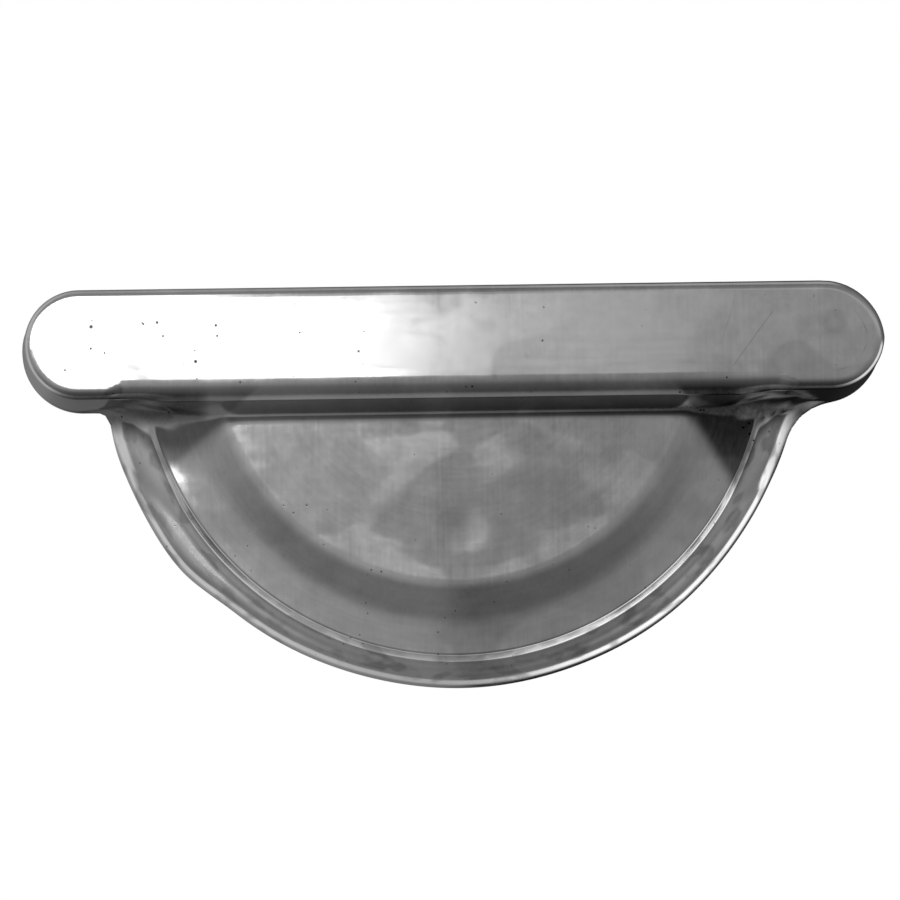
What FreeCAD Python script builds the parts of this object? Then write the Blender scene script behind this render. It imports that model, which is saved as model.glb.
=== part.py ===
import FreeCAD, Part
import os
import Sketcher

# Gutter end cap, drawn from one sheet of metal.
# It closes the end of a half-round gutter. A raised bar with round ends runs across the top and
# takes the gutter's rolled bead at whichever side it is. Below it is a half-round pan: a raised
# middle, a shallow valley, a sharp ridge, a flat flange where the gutter's end stops, and a lip
# turned back round the outside of the gutter.
#
# Frame, in mm: the gutter's axis is Y, the gutter lies towards +Y and its end stops at Y = 0.
# The outer face looks along -Y. Z is up and X runs along the bar.
#
# The sheet is what lies between two forms built the same way: the drawn form, which is the
# outside filled up solid to the back edge, and the hollow form, which is the same with every
# wall moved in by the sheet's thickness.

SIZES = {
    # The gutter that the cap closes
    "gutter_diameter": "153",
    "gutter_sheet": "0.7",
    "bead_diameter": "18",
    # Room left round the gutter and its bead
    "rim_gap": "0.8",
    "bead_gap": "1.7",
    # The sheet and its draw angle
    "sheet_thickness": "0.7",
    "draft_angle": "4",
    # Lip round the gutter
    "rim_depth": "6",
    "rim_bend": "3.8",
    # Bar across the top, whose middle line is below the gutter's axis
    "axis_drop": "1.9",
    "bar_rise": "18",
    "bar_height": "27.5",
    "bar_edge": "2.2",
    # Pan from the lip inward, as widths on the plan and rises in front of the flange
    "flange_flat": "0.3",
    "crease_round": "0.9",
    "ridge_run": "2.9",
    "ridge_rise": "3.5",
    "ridge_round": "1.1",
    "valley_width": "5.3",
    "valley_rise": "3",
    "valley_round": "8",
    "slope_run": "10",
    "plateau_rise": "8",
    "plateau_edge": "9",
    # Hollow sweep from the bar's lower wall into the valley
    "sweep_radius": "20",
    "sweep_turn": "26",
    # Corners between the bar and the lip, drawn in further on one side
    "left_corner": "2.5",
    "right_corner": "6",
    # How far the sweep and the corner webs run into the walls that they meet
    "overlap": "0.3",
    # Shallow round dent in the raised middle, from the middle's outer edge to the dent's centre
    "dent_radius": "6",
    "dent_depth": "0.2",
    "dent_margin": "12.4",
}

NODE = "end_cap"
TOLERANCE = 1e-4

doc = FreeCAD.newDocument("gutter_end_cap")
sheet = doc.addObject("Spreadsheet::Sheet", "Sizes")
for row, (alias, number) in enumerate(SIZES.items(), start=1):
    sheet.set(f"A{row}", alias)
    sheet.set(f"B{row}", number)
    sheet.setAlias(f"B{row}", alias)
doc.recompute()

# Places along Y: flange front, back edge, and the front of each raised part
FLANGE = "(-Sizes.sheet_thickness)"
BACK = "(Sizes.rim_depth - Sizes.sheet_thickness)"
FACE = "(-Sizes.sheet_thickness - Sizes.bar_rise)"
PLATEAU = "(-Sizes.sheet_thickness - Sizes.plateau_rise)"
VALLEY = "(-Sizes.sheet_thickness - Sizes.valley_rise)"
RIDGE = "(-Sizes.sheet_thickness - Sizes.ridge_rise)"

# Slopes of the pan's walls, falling outward
PLATEAU_SLOPE = "atan((Sizes.plateau_rise - Sizes.valley_rise) / Sizes.slope_run)"
VALLEY_SLOPE = "atan((Sizes.valley_rise - Sizes.ridge_rise) / Sizes.valley_width)"
RIDGE_SLOPE = "atan(Sizes.ridge_rise / Sizes.ridge_run)"
LIP_SLOPE = "(90 deg - Sizes.draft_angle * 1 deg)"
LEVEL = "0 deg"

# Outside of the lip and of the bar
DRAFT_RUN = "Sizes.rim_depth * tan(Sizes.draft_angle)"
LIP = "(Sizes.gutter_diameter / 2 + Sizes.gutter_sheet + Sizes.rim_gap + Sizes.sheet_thickness)"
LIP_BACK = f"({LIP} + {DRAFT_RUN})"
BAR_HALF = (
    "(Sizes.gutter_diameter / 2 + Sizes.bead_diameter + Sizes.bead_gap + Sizes.sheet_thickness"
    f" + {DRAFT_RUN})"
)
BAR_DEPTH = "(Sizes.bar_rise + Sizes.rim_depth)"
BAR_FOOT = "(Sizes.axis_drop + Sizes.bar_height / 2)"
BAR_FRONT_FOOT = f"({BAR_FOOT} - {BAR_DEPTH} * tan(Sizes.draft_angle))"

# Radii of the pan, about the bar's middle: the flange is narrowest at the bottom
CREASE_RADIUS = f"({LIP} - Sizes.axis_drop - Sizes.rim_bend - Sizes.flange_flat)"
RIDGE_RADIUS = f"({CREASE_RADIUS} - Sizes.ridge_run)"
VALLEY_RADIUS = f"({RIDGE_RADIUS} - Sizes.valley_width)"
PLATEAU_RADIUS = f"({VALLEY_RADIUS} - Sizes.slope_run)"

# Dent: its place below the gutter's axis and the ball that presses it
DENT_DROP = f"(Sizes.axis_drop + {PLATEAU_RADIUS} - Sizes.dent_margin)"
DENT_BALL = "((Sizes.dent_radius^2 + Sizes.dent_depth^2) / (2 * Sizes.dent_depth))"
DENT_REACH = f"acos(2 * Sizes.dent_radius / {DENT_BALL})"


def value(expression):
    """The number that an expression on the sheet gives."""
    result = sheet.evalExpression(expression)
    return float(getattr(result, "Value", result))


def sketch_on(body, name, plane, lift):
    """An empty sketch on one of the body's origin planes, moved along the plane's normal by lift."""
    sketch = body.newObject("Sketcher::SketchObject", name)
    support = next(item for item in body.Origin.OriginFeatures if item.Role == plane)
    sketch.AttachmentSupport = [(support, "")]
    sketch.MapMode = "FlatFace"
    sketch.setExpression("AttachmentOffset.Base.z", lift)
    return sketch


def bind(sketch, kind, geometry, expression):
    """Adds a dimension to the sketch and ties it to the sheet."""
    index = sketch.addConstraint(Sketcher.Constraint(kind, *geometry, value(expression)))
    sketch.setExpression(f"Constraints[{index}]", expression)


def place_point(sketch, geometry, point, horizontal, vertical):
    """Holds a point of the sketch at two expressions, or on the upright axis where one is None."""
    if horizontal is None:
        sketch.addConstraint(Sketcher.Constraint("PointOnObject", geometry, point, -2))
    else:
        bind(sketch, "DistanceX", (-1, 1, geometry, point), horizontal)
    bind(sketch, "DistanceY", (-1, 1, geometry, point), vertical)


def spot(corner):
    """A corner's place as a vector."""
    horizontal, vertical = corner
    return FreeCAD.Vector(0 if horizontal is None else value(horizontal), value(vertical), 0)


def join(sketch, pieces):
    """Makes each piece of a closed run end where the next one starts."""
    for piece, following in zip(pieces, pieces[1:] + pieces[:1]):
        sketch.addConstraint(Sketcher.Constraint("Coincident", piece, 2, following, 1))


def lines_through(sketch, corners):
    """A closed run of lines through corners that are given as pairs of expressions."""
    points = [spot(corner) for corner in corners]
    ends = zip(points, points[1:] + points[:1])
    lines = [sketch.addGeometry(Part.LineSegment(start, end)) for start, end in ends]
    join(sketch, lines)
    for line, (horizontal, vertical) in zip(lines, corners):
        place_point(sketch, line, 1, horizontal, vertical)


def moved_in(radius, place, before, after, inset):
    """A corner of the pan's section, moved so that both walls that meet there move in by inset."""
    middle = f"(({before} + {after}) / 2)"
    reach = f"({inset} / cos(({after} - {before}) / 2))"
    return f"{radius} - {reach} * sin({middle})", f"{place} + {reach} * cos({middle})"


def turned(body, name, profile, kind, degrees):
    """A turned feature about its sketch's upright axis, from +X round under the gutter's axis."""
    feature = body.newObject(f"PartDesign::{kind}", name)
    feature.Profile = profile
    feature.ReferenceAxis = (profile, ["V_Axis"])
    feature.Angle = degrees
    doc.recompute()
    return feature


def padded(body, name, profile, length, taper):
    """A pad towards the outer face, narrowing by the draw angle."""
    feature = body.newObject("PartDesign::Pad", name)
    feature.Profile = profile
    feature.setExpression("Length", length)
    feature.setExpression("TaperAngle", taper)
    doc.recompute()
    return feature


def ring_edges(shape, radius, place):
    """Names of the shape's round edges of one radius that lie at one place along Y."""
    names = []
    for number, edge in enumerate(shape.Edges, start=1):
        curve = edge.Curve
        if curve.TypeId != "Part::GeomCircle":
            continue
        if abs(curve.Radius - value(radius)) < TOLERANCE and abs(curve.Center.y - value(place)) < TOLERANCE:
            names.append(f"Edge{number}")
    return names


def level_edges(shape, place):
    """Names of the shape's edges that lie wholly at one place along Y."""
    names = []
    for number, edge in enumerate(shape.Edges, start=1):
        if all(abs(vertex.Point.y - value(place)) < TOLERANCE for vertex in edge.Vertexes):
            names.append(f"Edge{number}")
    return names


def rounded(body, name, edges, radius):
    """A fillet on the body's last feature."""
    base = body.Tip
    feature = body.newObject("PartDesign::Fillet", name)
    feature.Base = (base, edges)
    feature.setExpression("Radius", radius)
    doc.recompute()
    return feature


def stadium(sketch, half, radius):
    """A long round-ended outline about the bar's middle line."""
    height = "(-Sizes.axis_drop)"
    reach = f"({half} - {radius})"
    left = FreeCAD.Vector(-value(reach), value(height), 0)
    right = FreeCAD.Vector(value(reach), value(height), 0)
    up = FreeCAD.Vector(0, value(radius), 0)
    out = FreeCAD.Vector(value(radius), 0, 0)
    top = sketch.addGeometry(Part.LineSegment(right + up, left + up))
    left_end = sketch.addGeometry(Part.Arc(left + up, left - out, left - up))
    foot = sketch.addGeometry(Part.LineSegment(left - up, right - up))
    right_end = sketch.addGeometry(Part.Arc(right - up, right + out, right + up))
    for line, arc, line_end, arc_end in (
        (top, left_end, 2, 1),
        (foot, left_end, 1, 2),
        (foot, right_end, 2, 1),
        (top, right_end, 1, 2),
    ):
        sketch.addConstraint(Sketcher.Constraint("Tangent", line, line_end, arc, arc_end))
    bind(sketch, "Radius", (right_end,), radius)
    place_point(sketch, right_end, 3, reach, height)
    bind(sketch, "DistanceX", (left_end, 3, right_end, 3), f"2 * {reach}")
    sketch.addConstraint(Sketcher.Constraint("Horizontal", top))


def corner_outline(sketch, corner, side, inset):
    """The web that rounds the inner corner between the bar's foot and the lip, at the back edge."""
    lip = f"({LIP_BACK} - {inset} - Sizes.overlap)"
    foot = f"({BAR_FOOT} - {inset} - Sizes.overlap)"
    radius = f"({corner} + {inset})"
    drop = f"({foot} + {radius})"
    across = f"sqrt(({lip} + {radius})^2 - {drop}^2)"
    share = f"({lip} / ({lip} + {radius}))"
    on_foot = (f"{side} * {across}", f"-{foot}")
    on_lip = (f"{side} * {across} * {share}", f"-{drop} * {share}")
    within = (f"{side} * {RIDGE_RADIUS}", "-Sizes.axis_drop")
    centre = (f"{side} * {across}", f"-{drop}")
    ends = [on_foot, on_lip]
    if side == "-1":
        ends.reverse()
    first, last = ends
    towards = (spot(first) + spot(last) - spot(centre) * 2).normalize() * value(radius)
    curve = sketch.addGeometry(Part.Arc(spot(first), spot(centre) + towards, spot(last)))
    inward = sketch.addGeometry(Part.LineSegment(spot(last), spot(within)))
    outward = sketch.addGeometry(Part.LineSegment(spot(within), spot(first)))
    join(sketch, [curve, inward, outward])
    place_point(sketch, inward, 1, *last)
    place_point(sketch, outward, 1, *within)
    place_point(sketch, curve, 1, *first)
    bind(sketch, "Radius", (curve,), radius)


def build_form(name, inset):
    """One of the two forms, with every wall moved in from the cap's outside by inset."""
    body = doc.addObject("PartDesign::Body", name)
    inset_in_plan = f"({inset} / cos(Sizes.draft_angle))"
    taper = "-Sizes.draft_angle"
    pan_axis = "-Sizes.axis_drop"

    # Hollow sweep under the bar: a long block whose upper side is a hollow round
    sweep = sketch_on(body, f"{name}_sweep_section", "YZ_Plane", "0")
    radius = f"(Sizes.sweep_radius + {inset})"
    centre = (
        f"({VALLEY} - Sizes.sweep_radius)",
        f"(Sizes.overlap - {BAR_FRONT_FOOT} - Sizes.sweep_radius * cos(Sizes.sweep_turn))",
    )
    front = f"({centre[0]} + {radius} * sin(Sizes.sweep_turn))"
    top = f"({centre[1]} + {radius} * cos(Sizes.sweep_turn))"
    low = f"({centre[0]} + {radius})"
    start = spot((low, centre[1]))
    end = spot((front, top))
    towards = FreeCAD.Vector(1, 1, 0).normalize() * value(radius)
    curve = sweep.addGeometry(Part.Arc(start, spot(centre) + towards, end))
    corners = [end, spot((BACK, top)), spot((BACK, centre[1])), start]
    blocks = [sweep.addGeometry(Part.LineSegment(a, b)) for a, b in zip(corners, corners[1:])]
    join(sweep, [curve] + blocks)
    place_point(sweep, curve, 3, *centre)
    place_point(sweep, blocks[0], 1, front, top)
    place_point(sweep, blocks[1], 1, BACK, top)
    place_point(sweep, blocks[2], 1, BACK, centre[1])
    sweep.addConstraint(Sketcher.Constraint("Horizontal", blocks[2]))
    block = body.newObject("PartDesign::Pad", f"{name}_sweep")
    block.Profile = sweep
    block.setExpression("Length", f"2 * {CREASE_RADIUS}")
    block.Midplane = True
    doc.recompute()

    # Its ends follow the outside of the ridge
    trim = sketch_on(body, f"{name}_sweep_ends_section", "XY_Plane", pan_axis)
    at_flange = f"({CREASE_RADIUS} - {inset} / sin({RIDGE_SLOPE}))"
    at_back = f"({at_flange} + Sizes.rim_depth / tan({RIDGE_SLOPE}))"
    at_face = f"({at_flange} - Sizes.bar_rise / tan({RIDGE_SLOPE}))"
    lines_through(trim, [(at_back, BACK), (BAR_HALF, BACK), (BAR_HALF, FACE), (at_face, FACE)])
    turned(body, f"{name}_sweep_ends", trim, "Groove", 360)

    # Pan: raised middle, valley and ridge
    pan = sketch_on(body, f"{name}_pan_section", "XY_Plane", pan_axis)
    lines_through(
        pan,
        [
            (None, f"{PLATEAU} + {inset}"),
            moved_in(PLATEAU_RADIUS, PLATEAU, LEVEL, PLATEAU_SLOPE, inset),
            moved_in(VALLEY_RADIUS, VALLEY, PLATEAU_SLOPE, VALLEY_SLOPE, inset),
            moved_in(RIDGE_RADIUS, RIDGE, VALLEY_SLOPE, RIDGE_SLOPE, inset),
            moved_in(CREASE_RADIUS, FLANGE, RIDGE_SLOPE, LEVEL, inset),
            (CREASE_RADIUS, BACK),
            (None, BACK),
        ],
    )
    turned(body, f"{name}_pan", pan, "Revolution", 180)

    # Flange and lip, about the gutter's own axis
    rim = sketch_on(body, f"{name}_rim_section", "XY_Plane", "0")
    lines_through(
        rim,
        [
            (None, f"{FLANGE} + {inset}"),
            moved_in(LIP, FLANGE, LEVEL, LIP_SLOPE, inset),
            (f"{LIP_BACK} - {inset_in_plan}", BACK),
            (None, BACK),
        ],
    )
    turned(body, f"{name}_rim", rim, "Revolution", 180)

    # Bar, drawn from the back edge to the face
    plan = sketch_on(body, f"{name}_bar_outline", "XZ_Plane", f"-{BACK}")
    stadium(plan, f"({BAR_HALF} - {inset_in_plan})", f"(Sizes.bar_height / 2 - {inset_in_plan})")
    padded(body, f"{name}_bar", plan, f"{BAR_DEPTH} - {inset}", taper)

    # Webs in the corners between bar and lip
    for side, corner in (("-1", "Sizes.left_corner"), ("1", "Sizes.right_corner")):
        web_name = f"{name}_{'left' if side == '-1' else 'right'}_web"
        web = sketch_on(body, f"{web_name}_outline", "XZ_Plane", f"-{BACK}")
        corner_outline(web, corner, side, inset_in_plan)
        padded(body, web_name, web, f"Sizes.rim_depth - Sizes.rim_bend - {inset}", taper)

    # Bends: round edges stand out from the sheet, hollow ones turn in
    for part, corner, radius in (
        ("plateau_edge", moved_in(PLATEAU_RADIUS, PLATEAU, LEVEL, PLATEAU_SLOPE, inset), "-"),
        ("valley_round", moved_in(VALLEY_RADIUS, VALLEY, PLATEAU_SLOPE, VALLEY_SLOPE, inset), "+"),
        ("ridge_round", moved_in(RIDGE_RADIUS, RIDGE, VALLEY_SLOPE, RIDGE_SLOPE, inset), "-"),
        ("crease_round", moved_in(CREASE_RADIUS, FLANGE, RIDGE_SLOPE, LEVEL, inset), "+"),
        ("rim_bend", moved_in(LIP, FLANGE, LEVEL, LIP_SLOPE, inset), "-"),
    ):
        edges = ring_edges(body.Shape, *corner)
        rounded(body, f"{name}_{part}", edges, f"Sizes.{part} {radius} {inset}")
    edges = level_edges(body.Shape, f"{FACE} + {inset}")
    rounded(body, f"{name}_bar_edge", edges, f"Sizes.bar_edge - {inset}")

    # Dent in the raised middle
    dent = body.newObject("PartDesign::SubtractiveSphere", f"{name}_dent")
    support = next(item for item in body.Origin.OriginFeatures if item.Role == "XZ_Plane")
    dent.AttachmentSupport = [(support, "")]
    dent.MapMode = "FlatFace"
    dent.setExpression("Radius", f"{DENT_BALL} + {inset}")
    dent.setExpression("Angle2", f"-{DENT_REACH}")
    dent.setExpression("AttachmentOffset.Base.y", f"-{DENT_DROP}")
    dent.setExpression("AttachmentOffset.Base.z", f"{DENT_BALL} - Sizes.dent_depth - {PLATEAU}")
    doc.recompute()
    return body


drawn = build_form("drawn_form", "0")
hollow = build_form("hollow_form", "Sizes.sheet_thickness")

# The sheet between the two forms
cap = doc.addObject("Part::Cut", NODE)
cap.Label = NODE
cap.Base = drawn
cap.Tool = hollow
cap.Placement = FreeCAD.Placement()
doc.recompute()

for item in doc.Objects:
    if "Invalid" in item.State or "Error" in item.State:
        raise RuntimeError(f"{item.Name} did not build: {item.State}")
    shape = getattr(item, "Shape", None)
    if shape is not None and (shape.isNull() or not shape.isValid()):
        raise RuntimeError(f"{item.Name} has no sound shape")
if len(cap.Shape.Solids) != 1:
    raise RuntimeError(f"the cap has {len(cap.Shape.Solids)} solids")

os.makedirs("parts", exist_ok=True)
cap.Shape.exportStep(f"parts/{NODE}.step")
print(f"{NODE}: {cap.Shape.BoundBox}, {cap.Shape.Volume:.1f} mm3")
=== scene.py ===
# %% [markdown]
# # A drawn sheet end cap for a half-round gutter
#
# The cap is one piece of zinc-coated sheet, pressed in one stroke. This lesson loads its CAD model,
# builds the same sheet again as a fine numpy surface with the small faults of a real pressing, and
# gives it a bright rolled finish.

import bmesh
import bpy
import numpy as np
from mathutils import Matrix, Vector


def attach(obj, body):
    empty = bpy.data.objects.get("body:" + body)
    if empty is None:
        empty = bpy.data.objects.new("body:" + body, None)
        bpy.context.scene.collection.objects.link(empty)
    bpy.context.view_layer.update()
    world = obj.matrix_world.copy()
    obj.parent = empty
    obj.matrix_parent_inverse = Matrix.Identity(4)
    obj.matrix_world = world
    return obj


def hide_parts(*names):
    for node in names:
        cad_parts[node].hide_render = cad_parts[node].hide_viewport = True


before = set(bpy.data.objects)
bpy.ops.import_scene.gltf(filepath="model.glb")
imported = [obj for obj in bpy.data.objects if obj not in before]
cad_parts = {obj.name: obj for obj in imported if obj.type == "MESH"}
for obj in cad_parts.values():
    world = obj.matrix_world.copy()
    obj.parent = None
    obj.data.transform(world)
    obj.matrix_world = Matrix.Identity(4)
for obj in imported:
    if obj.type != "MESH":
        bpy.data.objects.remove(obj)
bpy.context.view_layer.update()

# %% [markdown]
# ## Sizes
#
# All shapes below are worked out in millimetres and put into Blender in metres. Depth is counted from
# the bar's front face backwards, so the face is 0, the flange is 18 and the trimmed back edge is 24.

# %% Sizes of the cap
MM = 0.001
FACE_Y = -18.7
BACK_DEPTH = 24.0
FLANGE_DEPTH = 18.0
SHEET = 0.7
DRAFT = np.radians(4.0)

BAR_HALF = 97.32
BAR_RADIUS = 13.75
BAR_MIDDLE = -1.9
BAR_EDGE = 2.0
EDGE_OVER_PAN = 1.4
FACE_LEAN = 0.009
ROUNDER_END = 1.8
BAR_FOOT = BAR_MIDDLE - BAR_RADIUS
END_CENTRE = BAR_HALF - BAR_RADIUS

LIP_RADIUS = 79.12
LIP_BEND = 3.8
LEFT_CORNER = 2.5
RIGHT_CORNER = 8.5
CORNER_CHANGE = 20

SWEEP_RADIUS = 20.0
SWEEP_DEPTH = -5.0
SWEEP_Z = -31.64
SWEEP_START = 3.8
CREASE_Z = -18.42

# The pan's section from its middle outward: radius, depth and the round at that corner
PAN_CORNERS = [(0.0, 10.0), (54.5, 10.0), (64.5, 15.0), (69.8, 14.5), (71.2, 18.0), (90.0, 18.0)]
PAN_ROUNDS = [6.0, 13.0, 0.7, 0.8]
PAN_END = 74.5
PLATEAU_LEAN = 0.014
DENT_PLACE = (1.0, -44.0)
DENT_RADIUS = 6.5
DENT_DEPTH = 0.12
print(f"bar {2 * BAR_HALF:.1f} mm long, lip {2 * LIP_RADIUS:.1f} mm wide, {BACK_DEPTH:.1f} mm deep")

# %% [markdown]
# ## Solid forms as fields
#
# A pressing is easiest to think of as a few simple solids that melt into each other: the bar, the
# half-round pan, the hollow sweep between them, and the flange plate with its bent lip. Each one is a
# field: a number for every point in space, negative inside and positive outside, close to the true
# distance. Taking the smaller of two fields joins two solids, and a soft version of it leaves a fillet,
# just as sheet can't make a sharp corner.

# %% Joining and rounding fields
def soft_min(a, b, reach):
    """The smaller of a and b, with a fillet: min(a, b) - max(reach - |a - b|, 0)^2 / (4 reach)."""
    overlap = np.maximum(reach - np.abs(a - b), 0)
    return np.minimum(a, b) - overlap**2 / (4 * reach)


def soft_max(a, b, reach):
    """The larger of a and b, rounded in the same way."""
    return -soft_min(-a, -b, reach)


def rounded_edge(a, b, radius):
    """The space where both a and b are negative, with its outer edge rounded to the radius."""
    outer = np.hypot(np.maximum(a + radius, 0), np.maximum(b + radius, 0))
    return np.minimum(np.maximum(a, b), -radius) + outer


def filleted_union(a, b, radius):
    """The space where a or b is negative, with the hollow corner between them filled to the radius."""
    hollow = np.hypot(np.maximum(radius - a, 0), np.maximum(radius - b, 0))
    return np.maximum(radius, np.minimum(a, b)) - hollow


def smooth_step(x, low, high):
    """0 below low, 1 above high, and 3s^2 - 2s^3 between."""
    s = np.clip((x - low) / (high - low), 0, 1)
    return s * s * (3 - 2 * s)


print("fillet between two equal fields at a reach of 4 mm:", soft_min(0.0, 0.0, 4.0))


# %% [markdown]
# ## The outline
#
# Seen from the front, the outline is a long bar with round ends over a half circle. The sheet was drawn
# in unevenly: the left corner is tight and the lip beside it stands out a little, up to a kink; the
# right corner runs in a long curve. The lip also has shallow wrinkles where the sheet was squeezed
# round the bend.

# %% Outline on the plan
def bar_distance(x, z):
    """Distance from a bar with round ends; the upper right end is a larger round that starts earlier."""
    even = np.hypot(np.maximum(np.abs(x) - END_CENTRE, 0), z - BAR_MIDDLE) - BAR_RADIUS
    past = np.maximum(x - END_CENTRE + ROUNDER_END, 0)
    above = np.maximum(z - BAR_MIDDLE + ROUNDER_END, 0)
    return np.maximum(even, np.hypot(past, above) - BAR_RADIUS - ROUNDER_END)


def hump(x, middle, width):
    """A smooth hump of height 1: exp(-((x - middle) / width)^2)."""
    return np.exp(-(((x - middle) / width) ** 2))


# Heights in millimetres, angles in degrees; a pair is where a change starts and where it is done
FLARE = 1.15
FLARE_START = (-174, -160)
FLARE_END = (-141, -129)
KINK = 0.4
KINK_ANGLE = -142
KINK_WIDTH = 7
DIP = 0.35
DIP_ANGLE = -113
DIP_WIDTH = 13
LONG_WAVE = 0.12
SHORT_WAVE = 0.06
WAVE_START = (-172, -150)
WAVE_END = (-30, -8)
WRINKLE = 0.018


def lip_bulge(angle):
    """How far the lip stands out from a circle: a flare at the left up to a kink, and a slow wave."""
    flare = FLARE * smooth_step(angle, *FLARE_START) * (1 - smooth_step(angle, *FLARE_END))
    flare = flare + KINK * hump(angle, KINK_ANGLE, KINK_WIDTH) - DIP * hump(angle, DIP_ANGLE, DIP_WIDTH)
    wave = LONG_WAVE * np.sin(np.radians(angle * 5.3 + 20)) + SHORT_WAVE * np.sin(np.radians(angle * 11.7))
    return flare + wave * smooth_step(angle, *WAVE_START) * (1 - smooth_step(angle, *WAVE_END))


def lip_wrinkle(angle):
    """Small uneven wrinkles of the sheet that was squeezed round the lip, about 9 mm apart."""
    a = np.radians(angle)
    fine = WRINKLE * np.sin(53 * a + 2.5 * np.sin(6 * a)) * (0.55 + 0.45 * np.sin(9 * a + 1))
    return fine + WRINKLE * np.sin(31 * a + 2)


def lip_distance(x, z):
    """Distance from the lip's circle, r - R(angle), below the gutter's axis."""
    angle = np.degrees(np.arctan2(np.minimum(z, -1e-6), x))
    return np.maximum(np.hypot(x, z) - LIP_RADIUS - lip_bulge(angle), z)


def outline_distance(x, z):
    """Distance from the bar and the lip together, with a different corner fillet at each side."""
    corner = LEFT_CORNER + (RIGHT_CORNER - LEFT_CORNER) * smooth_step(x, -CORNER_CHANGE, CORNER_CHANGE)
    return filleted_union(bar_distance(x, z), lip_distance(x, z), corner)


print("outline at the lip's lowest point:", outline_distance(np.zeros(1), np.full(1, -LIP_RADIUS)).round(2))


# %% [markdown]
# ## The pan's section
#
# Cut from the middle outward, the pan is a raised flat, a slope, a shallow valley, a sharp ridge and
# the flange. It is drawn as straight walls first; an arc that touches both walls then rounds each
# corner, as on the pressing tool.

# %% Section of the pan
def rounded_section(corners, rounds):
    """Points along a run of straight walls whose corners are arcs that touch both walls."""
    points = [np.array([corners[0]])]
    for before, corner, after, radius in zip(corners, corners[1:], corners[2:], rounds):
        corner = np.array(corner)
        way_in = (corner - before) / np.linalg.norm(corner - before)
        way_out = (np.array(after) - corner) / np.linalg.norm(np.array(after) - corner)
        turn = np.arccos(way_in @ way_out)
        reach = radius * np.tan(turn / 2)
        inward = (way_out - way_in) / np.linalg.norm(way_out - way_in)
        centre = corner + inward * radius / np.cos(turn / 2)
        swing = np.linspace(-turn / 2, turn / 2, 25)[:, None]
        along = (way_in + way_out) / np.linalg.norm(way_in + way_out)
        points.append(centre - radius * np.cos(swing) * inward + radius * np.sin(swing) * along)
    points.append(np.array([corners[-1]]))
    return np.concatenate(points)


PAN_SECTION = rounded_section(PAN_CORNERS, PAN_ROUNDS)
print("pan section:", len(PAN_SECTION), "points, deepest", PAN_SECTION[:, 1].max())


# %% [markdown]
# ## The four solids
#
# The bar and the flange plate are flat blocks with drafted walls, so that the pressing comes off the
# tool. The bar's face leans back a little at the top. Its lower edge has a larger round over the pan,
# where the sheet had to run further. The plate's edge is the bent lip.

# %% Fields of the bar and the lipped plate
OVER_PAN_LEFT = (-78, -74)
OVER_PAN_RIGHT = (71, 77)
OVER_PAN_BELOW = (4, 9)
WRINKLE_INSET = -2.6
WRINKLE_WIDTH = 2.2
WRINKLE_BELOW = (20, 30)


def bar_field(x, depth, z):
    """A round-ended block; its walls lean by the draft, and its front edge is rounded."""
    lean = (depth - BACK_DEPTH) * np.tan(DRAFT)
    face = (z - BAR_MIDDLE) * FACE_LEAN - depth
    wall = (bar_distance(x, z) - lean) * np.cos(DRAFT)
    over_pan = smooth_step(x, *OVER_PAN_LEFT) * (1 - smooth_step(x, *OVER_PAN_RIGHT))
    over_pan = over_pan * smooth_step(-z, *OVER_PAN_BELOW)
    return rounded_edge(face, wall, BAR_EDGE + EDGE_OVER_PAN * over_pan)


def plate_field(x, depth, z):
    """The flange with its lip bent back; the wrinkles show on the bend and fade out near the bar."""
    lean = (depth - BACK_DEPTH) * np.tan(DRAFT)
    outline = outline_distance(x, z)
    angle = np.degrees(np.arctan2(np.minimum(z, -1e-6), x))
    wrinkle = lip_wrinkle(angle) * hump(outline, WRINKLE_INSET, WRINKLE_WIDTH)
    wrinkle = wrinkle * smooth_step(-z, *WRINKLE_BELOW)
    wall = (outline + wrinkle - lean) * np.cos(DRAFT)
    return rounded_edge(FLANGE_DEPTH - depth, wall, LIP_BEND)


# %% [markdown]
# The pan is the section above turned round the bar's middle, with a slight lean and one round dent in
# its raised part. The scales keep each field close to the true distance on a slope. Between the bar and
# the pan lies the sweep: a hollow quarter cylinder along the bar. At both ends it is cut off by a cone
# round the pan, so that the ridge comes out from under it; the cone opens towards the bar.

# %% Fields of the pan and the sweep
LEAN_MIDDLE = -36.0
LEAN_FADE = (40, 62)
PAN_SCALE = 0.9
PAN_END_ROUND = 2.5
CONE_TOP = -24.5
CONE_FOOT = 71.3
CONE_OPENING = 0.37
CONE_TURN = 2.0
CONE_SLOPE = 1.207
CONE_SCALE = 0.638
CONE_ROUND = 4.0


def pan_field(x, depth, z):
    """The turned section, level - depth, with a soft end at the lip; only below the bar's middle."""
    radius = np.hypot(x, z - BAR_MIDDLE)
    level = np.interp(radius, PAN_SECTION[:, 0], PAN_SECTION[:, 1])
    dent = np.hypot(x - DENT_PLACE[0], z - DENT_PLACE[1]) / DENT_RADIUS
    lean = (z - LEAN_MIDDLE) * PLATEAU_LEAN * (1 - smooth_step(radius, *LEAN_FADE))
    level = level - lean + DENT_DEPTH * np.clip(1 - dent**2, 0, None) ** 2
    pan = soft_max((level - depth) * PAN_SCALE, radius - PAN_END, PAN_END_ROUND)
    return np.maximum(pan, z - BAR_MIDDLE)


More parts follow.
